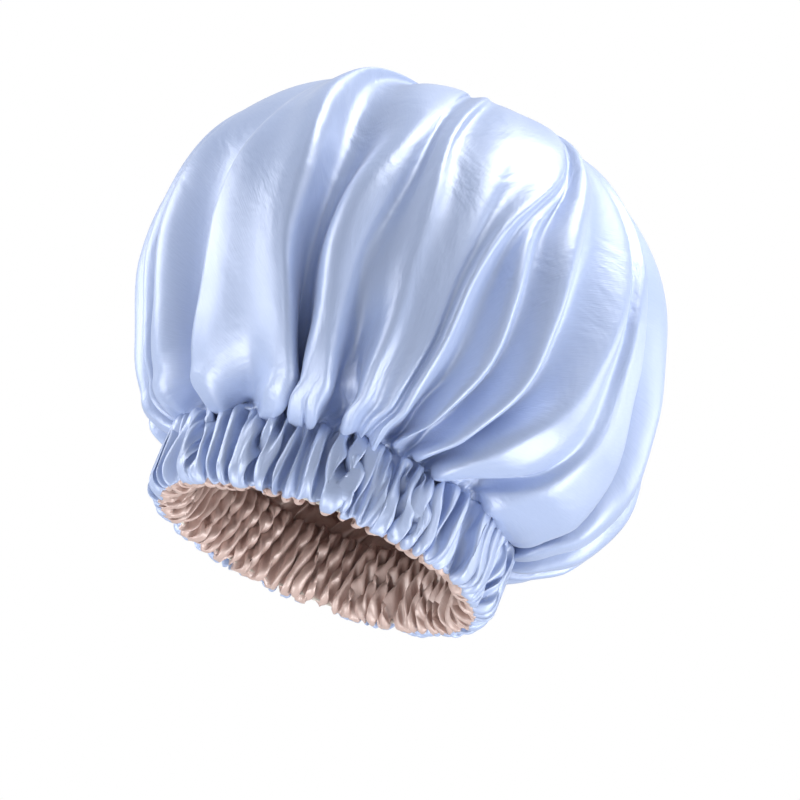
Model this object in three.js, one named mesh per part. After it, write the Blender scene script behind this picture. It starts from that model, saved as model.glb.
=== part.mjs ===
// A reversible hair bonnet, filled out as it is when worn: two layers of satin, gathered into a ruffled casing
// round an elastic band. Millimetres, +Z up the crown, origin at the centre of the head opening.
import * as THREE from "three";

// The crown's smooth envelope, which the folds stand in and out of.
const CROWN_RADIUS = 118;
const CROWN_WIDEST_HEIGHT = 113;
const CROWN_TOP_HEIGHT = 221;
const CROWN_SQUARENESS = 2.2; // of its upper part's curve: 2 is an ellipse, and more is squarer
const CURL_RADIUS = 3; // the turn from the crown's underside down into the channel seam
const FOLD_DEPTH = 6.5; // how far a full fold stands in or out
const TOP_LEAN = 7; // how far the filled crown's top leans to the left
const LOW_SWAY = 4; // how far its lower part hangs to the right
const BAG_DROOP = 6; // how much lower the crown's underside hangs at the right and back
const BAG_BEARING_DEGREES = 110;

// The ruffled casing, from the channel seam down to the edge seam.
const SEAM_RADIUS = 76;
const SEAM_HEIGHT = 36;
const CASING_EASE = 0.5; // between the elastic's lap and the hollows of the outer casing
const LINING_BULGE = 7; // how far the lining casing's mean line stands in from the channel seam
const RUFFLE_DEPTH = 2.2; // each ruffle, out and in from the mean line
const RUFFLE_COUNT = 48;
const EDGE_SEAM_INSET = 2.2; // the edge seam, in from the channel seam's radius

// The two fabrics and what joins them.
const SATIN_THICKNESS = 0.4;
const LAYER_GAP = 0.5; // between the outer crown and the lining
const SEAM_GAP = 0.4; // between edges and threads that meet
const THREAD_RADIUS = 0.3;

// The elastic, a strip whose end laps its start.
const ELASTIC_WIDTH = 28;
const ELASTIC_THICKNESS = 1;
const ELASTIC_LAP = 18;
const ELASTIC_LIFT = 3.5; // its lower edge above the rim
const ELASTIC_CLEARANCE = 0.35; // from its own lap, and from the lining casing's ruffles
const ZIGZAG_REACH = 2.4;
const ZIGZAG_COUNT = 7;
const ZIGZAG_END_MARGIN = 2.5;

// Where the crown's sections end, as shares of the way from the top to the channel seam.
const WIDEST_SHARE = 0.65;
const BAG_TOP_SHARE = 0.4;
const BAG_FULL_SHARE = 0.8;

// Where the crown leans and sways, as shares of the way up from the channel seam.
const LEAN_SHARES = [0.13, 0.72];
const SWAY_RISE_SHARES = [0, 0.05];
const SWAY_FALL_SHARES = [0.16, 0.37];

// The shares of the way down at which a fold's bearing and its depth are given. Above and below it dies out.
const BEARING_SHARES = [0.4, 0.6, 0.75, 0.88, 1];
const DEPTH_SHARES = [0.1, 0.4, 0.6, 0.75, 0.88, 0.96];

// Each crest and hollow of the crown's folds, round from the left: its bearing in degrees at BEARING_SHARES,
// and how far it stands out of the envelope inside the ends of DEPTH_SHARES, as shares of FOLD_DEPTH.
const FOLD_SHARES = [
  [[-90, -92, -93, -92, -90], [0.2, 0.9, 0.9, 0.9]],
  [[-82, -84, -85, -84, -83], [0, -0.6, -1, -1]],
  [[-73, -76, -78, -77, -76], [0.2, 0.9, 0.9, 0.9]],
  [[-66, -69, -70, -70, -69], [0, -0.4, -1, -1.1]],
  [[-57, -58, -62, -63, -62], [0.1, 0.9, 0.9, 0.8]],
  [[-51, -51, -55, -56, -56], [0, -0.2, -1, -1]],
  [[-46, -45, -48, -49, -50], [0.4, 0.9, 0.9, 0.9]],
  [[-39, -37, -37, -38, -41], [0.7, 0.9, 0.9, 0.8]],
  [[-32, -30, -29, -29, -34], [1, 1, 1, 0.9]],
  [[-27, -24, -23, -23, -27], [-0.9, -1.1, -1.1, -1.1]],
  [[-22, -19, -18, -18, -21], [-0.6, -0.9, -1, -1.1]],
  [[-17, -15, -13, -13, -16], [0, 0.5, 0.9, 0.9]],
  [[-11, -10, -8, -8, -11], [0, -0.4, -1, -1.1]],
  [[-5, -5, -4, -3, -6], [0.6, 0.7, 0.6, 0.8]],
  [[0, 1, 2, 2, 0], [0.5, 0.4, 0.5, 0.4]],
  [[5, 6, 6, 6, 5], [0.4, 0.5, 0.9, 0.9]],
  [[10, 10, 10, 10, 10], [-0.2, -0.5, -1, -1.1]],
  [[16, 14, 14, 14, 14], [0.4, 0.7, 0.9, 0.9]],
  [[21, 19, 19, 18, 18], [-0.1, -0.5, -1, -1.1]],
  [[27, 26, 26, 23, 22], [0.6, 0.9, 0.9, 0.9]],
  [[33, 32, 31, 28, 27], [-0.2, -0.9, -1, -1.1]],
  [[40, 40, 38, 34, 33], [0.4, 0.9, 0.9, 0.7]],
  [[45, 46, 46, 46, 42], [-0.1, -0.9, -0.9, -1]],
  [[50, 52, 56, 61, 58], [0.9, 0.9, 0.8, 0.9]],
  [[54, 57, 61, 67, 66], [-0.8, -1.1, -0.9, -0.9]],
  [[60, 63, 69, 76, 76], [0.8, 0.9, 0.9, 0.9]],
  [[70, 73, 78, 84, 85], [0, -1, -1, -1.1]],
  [[80, 82, 86, 91, 92], [0.5, 0.9, 0.8, 0.9]],
  [[98, 98, 99, 99, 99], [0, -0.6, -0.9, -1.1]],
  [[106, 106, 107, 106, 106], [0.3, 0.9, 0.9, 0.9]],
  [[113, 112, 112, 112, 113], [-0.1, -0.5, -1, -0.7]],
  [[120, 121, 121, 121, 120], [0.3, 0.8, 0.9, 0.9]],
  [[128, 127, 127, 127, 127], [-0.1, -0.6, -1.1, -1.1]],
  [[136, 136, 136, 135, 134], [0.1, 0.8, 0.9, 0.9]],
  [[143, 143, 142, 142, 141], [-0.2, -0.5, -0.9, -0.8]],
  [[149, 149, 149, 149, 149], [0.3, 0.7, 0.9, 0.9]],
  [[157, 157, 158, 157, 156], [-0.1, -0.6, -0.8, -1]],
  [[165, 165, 165, 164, 163], [0.2, 0.5, 0.9, 0.9]],
  [[171, 171, 171, 171, 170], [-0.2, -1, -1.1, -1.1]],
  [[178, 178, 177, 178, 178], [0.1, 0.7, 0.9, 0.9]],
  [[185, 185, 185, 185, 184], [-0.1, -0.3, -0.9, -1.1]],
  [[192, 192, 192, 192, 191], [0.2, 0.6, 0.9, 0.9]],
  [[199, 199, 198, 198, 198], [-0.3, -0.8, -1, -1.1]],
  [[207, 207, 207, 206, 206], [0.2, 0.7, 0.8, 0.9]],
  [[214, 214, 214, 213, 213], [-0.1, -0.4, -0.9, -1.1]],
  [[221, 222, 222, 221, 220], [0.2, 0.6, 0.9, 0.9]],
  [[228, 229, 229, 228, 227], [0, -0.5, -1, -0.8]],
  [[235, 235, 236, 235, 234], [0.2, 0.9, 0.9, 0.9]],
  [[241, 242, 242, 241, 241], [-0.2, -1, -1.1, -1.1]],
  [[247, 248, 248, 248, 248], [0.2, 0.9, 0.9, 0.9]],
  [[255, 255, 255, 255, 255], [-0.1, -0.5, -1, -1.1]],
  [[263, 263, 262, 262, 262], [0.3, 0.8, 0.9, 0.9]],
];

const UPPER_ROWS = 6;
const LOWER_ROWS = 4;
const CURL_ROWS = 2;
const QUARTER = Math.PI / 2;
const { lerp, smoothstep, degToRad } = THREE.MathUtils;

// A point at a bearing round the axis, counted from the front towards the right.
function around(bearing, radius, height) {
  return new THREE.Vector3(radius * Math.sin(bearing), -radius * Math.cos(bearing), height);
}

// The crown's envelope as rows from the top to the channel seam: radius, height, share, and outward direction.
function crownRows(gap) {
  const rows = [];
  const power = 2 / CROWN_SQUARENESS;
  const rise = CROWN_TOP_HEIGHT - CROWN_WIDEST_HEIGHT;
  const drop = CROWN_WIDEST_HEIGHT - SEAM_HEIGHT - gap - CURL_RADIUS;
  const reach = CROWN_RADIUS - SEAM_RADIUS - CURL_RADIUS;
  for (let i = 0; i <= UPPER_ROWS; i++) {
    const turn = (QUARTER * i) / UPPER_ROWS;
    rows.push({
      radius: CROWN_RADIUS * Math.sin(turn) ** power,
      height: CROWN_WIDEST_HEIGHT + rise * Math.cos(turn) ** power,
      share: (WIDEST_SHARE * i) / UPPER_ROWS,
      tilt: QUARTER - turn,
    });
  }
  for (let i = 1; i <= LOWER_ROWS; i++) {
    const turn = (QUARTER * i) / LOWER_ROWS;
    rows.push({
      radius: SEAM_RADIUS + CURL_RADIUS + reach * Math.cos(turn),
      height: CROWN_WIDEST_HEIGHT - drop * Math.sin(turn),
      share: lerp(WIDEST_SHARE, 1, i / (LOWER_ROWS + 1)),
      tilt: -turn,
    });
  }
  for (let i = 1; i <= CURL_ROWS; i++) {
    const turn = (QUARTER * i) / CURL_ROWS;
    rows.push({
      radius: SEAM_RADIUS + CURL_RADIUS * (1 - Math.sin(turn)),
      height: SEAM_HEIGHT + gap + CURL_RADIUS * Math.cos(turn),
      share: lerp(LOWER_ROWS / (LOWER_ROWS + 1), 1, i / CURL_ROWS) * (1 - WIDEST_SHARE) + WIDEST_SHARE,
      tilt: -QUARTER + turn,
    });
  }
  return rows;
}

// The value at a share of a line through values at shares in rising order, level beyond its ends.
function along(shares, values, share) {
  const next = shares.findIndex((s) => s >= share);
  if (next <= 0) return next ? values[values.length - 1] : values[0];
  return lerp(values[next - 1], values[next], (share - shares[next - 1]) / (shares[next] - shares[next - 1]));
}

// The bearing of a fold's line where it crosses a row.
function foldBearing([bearings], share) {
  return degToRad(along(BEARING_SHARES, bearings, share));
}

// How far a fold stands out of the envelope at a row: nothing near the top, and nothing at the channel seam.
function foldHeight([, depths], share) {
  return FOLD_DEPTH * along(DEPTH_SHARES, [0, ...depths, 0], share);
}

// How far the crown stands to the right of the opening's axis at a height.
function sidewayShift(height) {
  const up = (height - SEAM_HEIGHT) / (CROWN_TOP_HEIGHT - SEAM_HEIGHT);
  const sway = smoothstep(up, ...SWAY_RISE_SHARES) * (1 - smoothstep(up, ...SWAY_FALL_SHARES));
  return LOW_SWAY * sway - TOP_LEAN * smoothstep(up, ...LEAN_SHARES);
}

// How far the crown's underside hangs below the envelope at a bearing and row.
function bagDrop(bearing, share) {
  const turned = Math.max(Math.cos(bearing - degToRad(BAG_BEARING_DEGREES)), 0);
  const hanging = smoothstep(share, BAG_TOP_SHARE, BAG_FULL_SHARE) * (1 - smoothstep(share, BAG_FULL_SHARE, 1));
  return BAG_DROOP * turned * hanging;
}

// The crown as a grid of points: one row at the top that is a single point, then a ring of fold lines for each row.
function crownGrid() {
  return crownRows(SEAM_GAP / 2).map((row) =>
    FOLD_SHARES.map((fold) => {
      const out = foldHeight(fold, row.share);
      const bearing = foldBearing(fold, row.share);
      const height = row.height + out * Math.sin(row.tilt) - bagDrop(bearing, row.share);
      const point = around(bearing, row.radius + out * Math.cos(row.tilt), height);
      point.x += sidewayShift(height);
      return point;
    }),
  );
}

// The elastic's own surfaces, worked out from the lining casing's ruffles outwards.
const LINING_RADIUS = SEAM_RADIUS - 2 * SATIN_THICKNESS - LAYER_GAP;
const ELASTIC_RADIUS = LINING_RADIUS - LINING_BULGE + RUFFLE_DEPTH + 2 * SATIN_THICKNESS + ELASTIC_CLEARANCE;
const LAP_RISE = ELASTIC_THICKNESS + ELASTIC_CLEARANCE;
const LAP_ANGLE = ELASTIC_LAP / ELASTIC_RADIUS;
const ELASTIC_STEPS = 76;

function elasticFace(angle) {
  return ELASTIC_RADIUS + (LAP_RISE * angle) / (2 * Math.PI);
}

const LAP_RADIUS = elasticFace(2 * Math.PI + LAP_ANGLE) + ELASTIC_THICKNESS;
const CASING_RADIUS = LAP_RADIUS + CASING_EASE + 2 * THREAD_RADIUS + SATIN_THICKNESS + RUFFLE_DEPTH;

// One casing as a grid: out (side 1) or in (side -1) from the channel seam, down to the flat rim and the edge seam.
function casingGrid(side) {
  const outer = side > 0;
  const top = SEAM_HEIGHT - SEAM_GAP / 2;
  const seam = outer ? SEAM_RADIUS : LINING_RADIUS;
  const mean = outer ? CASING_RADIUS : LINING_RADIUS - LINING_BULGE;
  const edge = SEAM_RADIUS - EDGE_SEAM_INSET + (side * SEAM_GAP) / 2;
  const shoulder = lerp(ELASTIC_LIFT + ELASTIC_WIDTH, top, 1 / 4);
  const rows = [
    { radius: seam, height: top, ruffle: 0 },
    { radius: mean, height: shoulder, ruffle: 1 },
    { radius: mean, height: ELASTIC_LIFT, ruffle: 1 },
    { radius: (mean + edge) / 2, height: 0, ruffle: 1 / 2 },
    { radius: edge, height: 0, ruffle: 0 },
  ];
  const columns = Array.from({ length: 2 * RUFFLE_COUNT }, (_, i) => i);
  return rows.map((row) =>
    columns.map((i) => {
      const wave = i % 2 ? 1 : -1;
      const radius = row.radius + side * wave * row.ruffle * RUFFLE_DEPTH;
      return around((Math.PI * i) / RUFFLE_COUNT, radius, row.height);
    }),
  );
}

// The outward direction at each grid point, long enough that the facets move by one unit when the point moves by it.
function directions(grid, outward) {
  const columns = grid[0].length;
  const faces = (j, i) => {
    const a = grid[j][i];
    const b = grid[j][(i + 1) % columns];
    const c = grid[j + 1][(i + 1) % columns];
    const d = grid[j + 1][i];
    return new THREE.Vector3()
      .crossVectors(new THREE.Vector3().subVectors(c, a), new THREE.Vector3().subVectors(b, d))
      .normalize()
      .multiplyScalar(outward);
  };
  return grid.map((row, j) =>
    row.map((_, i) => {
      const left = (i + columns - 1) % columns;
      const near = [];
      if (j > 0) near.push(faces(j - 1, i), faces(j - 1, left));
      if (j < grid.length - 1) near.push(faces(j, i), faces(j, left));
      const mean = near.reduce((sum, n) => sum.add(n), new THREE.Vector3()).divideScalar(near.length);
      return mean.divideScalar(Math.max(mean.lengthSq(), 1 / 2));
    }),
  );
}

// The grid moved inwards by a distance along its directions.
function sunk(grid, directionsOf, distance) {
  return grid.map((row, j) => row.map((p, i) => p.clone().addScaledVector(directionsOf[j][i], -distance)));
}

// A closed wall of fabric between an outer and an inner grid. A domed wall's first row is one shared point.
function wall(outer, inner, domed, outward) {
  const columns = outer[0].length;
  const rows = outer.length;
  const positions = [];
  const place = (p) => positions.push(p.x, p.y, p.z) / 3 - 1;
  const numbers = [outer, inner].map((grid) =>
    grid.map((row, j) => {
      if (domed && j === 0) {
        const top = place(row[0]);
        return row.map(() => top);
      }
      return row.map(place);
    }),
  );
  const index = [];
  const quad = (a, b, c, d, facing) => {
    if (a !== b) index.push(...(facing > 0 ? [a, c, b] : [a, b, c]));
    if (c !== d) index.push(...(facing > 0 ? [a, d, c] : [a, c, d]));
  };
  const [o, n] = numbers;
  for (let i = 0; i < columns; i++) {
    const k = (i + 1) % columns;
    for (let j = 0; j < rows - 1; j++) {
      quad(o[j][i], o[j][k], o[j + 1][k], o[j + 1][i], outward);
      quad(n[j][i], n[j][k], n[j + 1][k], n[j + 1][i], -outward);
    }
    quad(o[rows - 1][i], o[rows - 1][k], n[rows - 1][k], n[rows - 1][i], outward);
    if (!domed) quad(o[0][i], o[0][k], n[0][k], n[0][i], -outward);
  }
  return new THREE.BufferGeometry()
    .setAttribute("position", new THREE.Float32BufferAttribute(positions, 3))
    .setIndex(index);
}

// A crown layer, at a depth under the outer crown's face.
function crownLayer(depth) {
  const face = crownGrid();
  const out = directions(face, 1);
  const layer = (under) => {
    const grid = sunk(face, out, under);
    grid[0].forEach((p, i) => p.set(face[0][i].x, face[0][i].y, p.z));
    return grid;
  };
  return wall(layer(depth), layer(depth + SATIN_THICKNESS), true, 1);
}

// A casing: its face is the side that shows, away from the elastic.
function casing(side) {
  const face = casingGrid(side);
  const out = directions(face, side);
  const back = sunk(face, out, SATIN_THICKNESS);
  // The rim's turn stays level: its face at the rim's plane and its back one thickness above.
  face.forEach((row, j) => {
    if (row[0].z === 0) row.forEach((p, i) => back[j][i].set(p.x, p.y, SATIN_THICKNESS));
  });
  return wall(face, back, false, side);
}

// The elastic strip, wound once round with its end lapped over its start.
function elasticBand() {
  const whole = 2 * Math.PI + LAP_ANGLE;
  const corners = [
    [0, 0],
    [ELASTIC_THICKNESS, 0],
    [ELASTIC_THICKNESS, ELASTIC_WIDTH],
    [0, ELASTIC_WIDTH],
  ];
  const positions = [];
  const index = [];
  for (let s = 0; s <= ELASTIC_STEPS; s++) {
    const angle = (whole * s) / ELASTIC_STEPS;
    for (const [out, up] of corners) {
      const p = around(Math.PI - LAP_ANGLE / 2 + angle, elasticFace(angle) + out, ELASTIC_LIFT + up);
      positions.push(p.x, p.y, p.z);
    }
    if (s === ELASTIC_STEPS) break;
    for (let c = 0; c < corners.length; c++) {
      const [a, b] = [s * corners.length + c, s * corners.length + ((c + 1) % corners.length)];
      index.push(a, b + corners.length, b, a, a + corners.length, b + corners.length);
    }
  }
  const last = ELASTIC_STEPS * corners.length;
  index.push(0, 1, 2, 0, 2, 3, last, last + 2, last + 1, last, last + 3, last + 2);
  return new THREE.BufferGeometry()
    .setAttribute("position", new THREE.Float32BufferAttribute(positions, 3))
    .setIndex(index);
}

// The zigzag stitching that runs up the middle of the lap, on the outer face.
function joinStitching() {
  const face = elasticFace(2 * Math.PI + LAP_ANGLE / 2) + ELASTIC_THICKNESS;
  const radius = face + ELASTIC_CLEARANCE + THREAD_RADIUS;
  const low = ELASTIC_LIFT + ZIGZAG_END_MARGIN;
  const high = ELASTIC_LIFT + ELASTIC_WIDTH - ZIGZAG_END_MARGIN;
  const points = Array.from({ length: 2 * ZIGZAG_COUNT + 1 }, (_, i) => {
    const swing = ((i % 2 ? 1 : -1) * ZIGZAG_REACH) / radius;
    return around(Math.PI + swing, radius, lerp(low, high, i / (2 * ZIGZAG_COUNT)));
  });
  return thread(new THREE.CatmullRomCurve3(points, false, "catmullrom", 1 / 4), 6 * ZIGZAG_COUNT, false);
}

// A thread of round section along a curve.
function thread(path, steps) {
  const section = new THREE.Shape().absarc(0, 0, THREAD_RADIUS, 0, 2 * Math.PI);
  return new THREE.ExtrudeGeometry(section, { steps, extrudePath: path, curveSegments: 6 });
}

// A ring of sewing thread round the bonnet.
const RING_SIDES = 5;
const RING_STEPS = 96;

function threadRing(radius) {
  return new THREE.TorusGeometry(radius, THREAD_RADIUS, RING_SIDES, RING_STEPS);
}

// Finishes: the outer satin is light blue, the lining champagne, the elastic white and the threads match.
const outerSatin = new THREE.MeshStandardMaterial({ color: 0xb9cdf0, roughness: 0.35, metalness: 0.1 });
const liningSatin = new THREE.MeshStandardMaterial({ color: 0xd9bfae, roughness: 0.35, metalness: 0.1 });
const knittedElastic = new THREE.MeshStandardMaterial({ color: 0xf2f0ea, roughness: 0.9, metalness: 0 });
const blueThread = new THREE.MeshStandardMaterial({ color: 0xa9c2ec, roughness: 0.5, metalness: 0 });
const champagneThread = new THREE.MeshStandardMaterial({ color: 0xcbb09e, roughness: 0.5, metalness: 0 });

const bonnet = new THREE.Group();

function add(name, geometry, material, height = 0) {
  const mesh = new THREE.Mesh(geometry, material);
  mesh.name = name;
  mesh.position.z = height;
  bonnet.add(mesh);
}

add("outer_crown", crownLayer(0), outerSatin);
add("lining_crown", crownLayer(SATIN_THICKNESS + LAYER_GAP), liningSatin);
add("outer_casing", casing(1), outerSatin);
add("lining_casing", casing(-1), liningSatin);
add("elastic_band", elasticBand(), knittedElastic);
add("elastic_join_stitching", joinStitching(), champagneThread);
add("channel_needle_thread", threadRing(SEAM_RADIUS + SEAM_GAP + THREAD_RADIUS), blueThread, SEAM_HEIGHT);
add(
  "channel_bobbin_thread",
  threadRing(LINING_RADIUS - SEAM_GAP - THREAD_RADIUS),
  champagneThread,
  SEAM_HEIGHT,
);
add(
  "edge_seam_thread",
  threadRing(SEAM_RADIUS - EDGE_SEAM_INSET),
  champagneThread,
  SATIN_THICKNESS + SEAM_GAP + THREAD_RADIUS,
);

export default bonnet;
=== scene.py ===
"""A reversible satin hair bonnet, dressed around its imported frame."""

import logging
import math
from collections.abc import Callable
from dataclasses import dataclass
from enum import Enum

import bpy
import numpy as np
from mathutils import Matrix, Vector


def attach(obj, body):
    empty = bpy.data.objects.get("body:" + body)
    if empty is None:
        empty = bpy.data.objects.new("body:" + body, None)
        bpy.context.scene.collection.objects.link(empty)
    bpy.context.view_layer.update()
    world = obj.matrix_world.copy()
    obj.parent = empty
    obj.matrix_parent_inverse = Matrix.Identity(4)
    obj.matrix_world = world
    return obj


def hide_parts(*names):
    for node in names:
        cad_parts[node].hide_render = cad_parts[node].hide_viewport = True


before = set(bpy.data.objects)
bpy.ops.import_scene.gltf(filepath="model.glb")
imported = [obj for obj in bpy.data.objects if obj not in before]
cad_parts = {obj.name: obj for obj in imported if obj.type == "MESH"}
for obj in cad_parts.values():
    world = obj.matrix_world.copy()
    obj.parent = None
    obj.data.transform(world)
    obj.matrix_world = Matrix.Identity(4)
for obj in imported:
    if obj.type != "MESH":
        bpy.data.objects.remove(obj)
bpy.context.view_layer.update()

logging.basicConfig(level=logging.INFO, format="%(message)s")
log = logging.getLogger("bonnet")

MM = 0.001
TURN = 2 * math.pi
QUARTER = math.pi / 2
EPSILON = 1e-9

# Where something starts and where it ends, or any other pair of numbers.
Span = tuple[float, float]


# Small helpers on arrays


def smoothstep(x: np.ndarray, low: float, high: float) -> np.ndarray:
    """Rises from 0 at low to 1 at high with level ends: 3t squared less 2t cubed.

    Args:
        x: Any array.
        low: Where the rise starts.
        high: Where the rise ends.

    Returns:
        An array of the same shape, from 0 to 1.
    """
    t = np.clip((x - low) / (high - low), 0, 1)
    return t * t * (3 - 2 * t)


def blurred(values: np.ndarray, sigma: float, axis: int, closed: bool) -> np.ndarray:
    """Averages an array along one axis with a bell-shaped weight, exp(-x squared / 2 sigma squared).

    Args:
        values: The array.
        sigma: The bell's width, in samples.
        axis: The axis to average along.
        closed: Whether the axis runs round and meets itself.

    Returns:
        An array of the same shape.
    """
    reach = max(1, int(math.ceil(3 * sigma)))
    offsets = np.arange(-reach, reach + 1)
    weights = np.exp(-(offsets**2) / (2 * sigma**2))
    weights /= weights.sum()
    pads = [(0, 0)] * values.ndim
    pads[axis] = (reach, reach)
    padded = np.pad(values, pads, mode="wrap" if closed else "edge")
    count = values.shape[axis]
    total = np.zeros_like(values)
    for weight, start in zip(weights, range(len(weights))):
        total += weight * np.take(padded, np.arange(start, start + count), axis=axis)
    return total


def cubic(p0: np.ndarray, p1: np.ndarray, p2: np.ndarray, p3: np.ndarray, t: np.ndarray) -> np.ndarray:
    """The smooth curve from p1 to p2: the cubic that passes both with the slopes of the chords across them.

    Args:
        p0: The points before p1.
        p1: Where the stretch starts.
        p2: Where it ends.
        p3: The points after p2.
        t: Places on the stretch, from 0 to 1.

    Returns:
        The curve's points there.
    """
    return p1 + 0.5 * t * (p2 - p0 + t * (2 * p0 - 5 * p1 + 4 * p2 - p3 + t * (3 * (p1 - p2) + p3 - p0)))


def catmull_rom(knots: np.ndarray, samples: int, turn: float) -> np.ndarray:
    """A closed smooth curve through knots: a cubic on each stretch between two of them.

    Args:
        knots: Rows of knots, shape (rows, knots).
        samples: How many points each stretch gets.
        turn: What one whole round adds to a knot: a whole turn for bearings, and 0 for depths.

    Returns:
        The curves, shape (rows, knots * samples).
    """
    before = np.roll(knots, 1, axis=1)
    before[:, 0] -= turn
    after = np.roll(knots, -1, axis=1)
    after[:, -1] += turn
    beyond = np.roll(knots, -2, axis=1)
    beyond[:, -2:] += turn
    t = np.arange(samples) / samples
    stretches = (p[:, :, None] for p in (before, knots, after, beyond))
    return cubic(*stretches, t).reshape(len(knots), -1)


def bearings(count: int) -> np.ndarray:
    """Even bearings round the axis, in radians, the first of them at the front."""
    return TURN * np.arange(count) / count


def around(bearing: np.ndarray, radius: np.ndarray, height: np.ndarray) -> np.ndarray:
    """Points round the axis, their bearing counted from the front, -Y, towards +X.

    Args:
        bearing: Bearings in radians.
        radius: Distances from the axis.
        height: Heights.

    Returns:
        Points, with one more axis of three.
    """
    parts = np.broadcast_arrays(radius * np.sin(bearing), -radius * np.cos(bearing), height)
    return np.stack(parts, axis=-1)


def outward_of(points: np.ndarray) -> np.ndarray:
    """The level directions away from the axis at points."""
    return points * (1, 1, 0) / (np.hypot(points[..., 0], points[..., 1])[..., None] + EPSILON)


def even_ring(points: np.ndarray, count: int, gap: float) -> np.ndarray:
    """A closed ring's points taken again at even bearings, and closer to the axis.

    Args:
        points: The ring, in order round the axis.
        count: How many new points.
        gap: By how much they are closer to the axis.

    Returns:
        Points, the first of them at the front.
    """
    bearing = bearings(count)
    old = np.arctan2(points[:, 0], -points[:, 1])
    radius = np.interp(bearing, old, np.hypot(points[:, 0], points[:, 1]), period=TURN)
    return around(bearing, radius - gap, np.interp(bearing, old, points[:, 2], period=TURN))


@dataclass(frozen=True)
class Ripple:
    """One sine wave round the bonnet. Its phase can drift on the way down and swing on the way round."""

    count: int
    size: float = 1.0
    phase: float = 0.0
    drift: float = 0.0
    swing: float = 0.0
    swing_count: int = 0


def ripples(
    parts: tuple[Ripple, ...], angle: np.ndarray, base: float = 0.0, down: np.ndarray | float = 0.0
) -> np.ndarray:
    """The sum of some ripples on a base: each is its size times the sine of count times the angle, plus its
    phase, plus its drift times the way down, plus its swing times the sine of swing_count times the angle.

    Args:
        parts: The ripples.
        angle: Places round the bonnet, in radians.
        base: What they are added to.
        down: Places on the way down.

    Returns:
        The sum, in the common shape of angle and down.
    """
    total = base
    for part in parts:
        slow = part.swing * np.sin(part.swing_count * angle)
        total = total + part.size * np.sin(part.count * angle + part.phase + part.drift * down + slow)
    return total


# The flat satin


@dataclass(frozen=True)
class Cut:
    """One ring of a flat satin disc: its radii on the disc, in metres."""

    inside: float
    outside: float

    def area(self) -> float:
        """Its area: pi times the difference of the squares of its radii."""
        return math.pi * (self.outside**2 - self.inside**2)

    def size(self) -> Span:
        """Its flat size: a disc's width both ways, or the sides of a square with the ring's area."""
        width = 2 * self.outside if self.inside == 0 else math.sqrt(self.area())
        return width, width

    def flat(self, rows: int, columns: int) -> np.ndarray:
        """Where each point of a grid lay on the flat disc: its reach times the sine, and minus its reach
        times the cosine, of its bearing.

        Args:
            rows: How many rows, from the inner edge out.
            columns: How many columns, round the disc.

        Returns:
            Flat coordinates in metres, shape (rows, columns, 2).
        """
        cloth = bearings(columns)
        reach = (self.inside + (self.outside - self.inside) * np.linspace(0, 1, rows))[:, None]
        return np.stack(np.broadcast_arrays(reach * np.sin(cloth), -reach * np.cos(cloth)), axis=-1)


CROWN_CUT = Cut(0.0, 0.284)
CASING_CUT = Cut(0.284, 0.320)


# The crown


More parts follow.
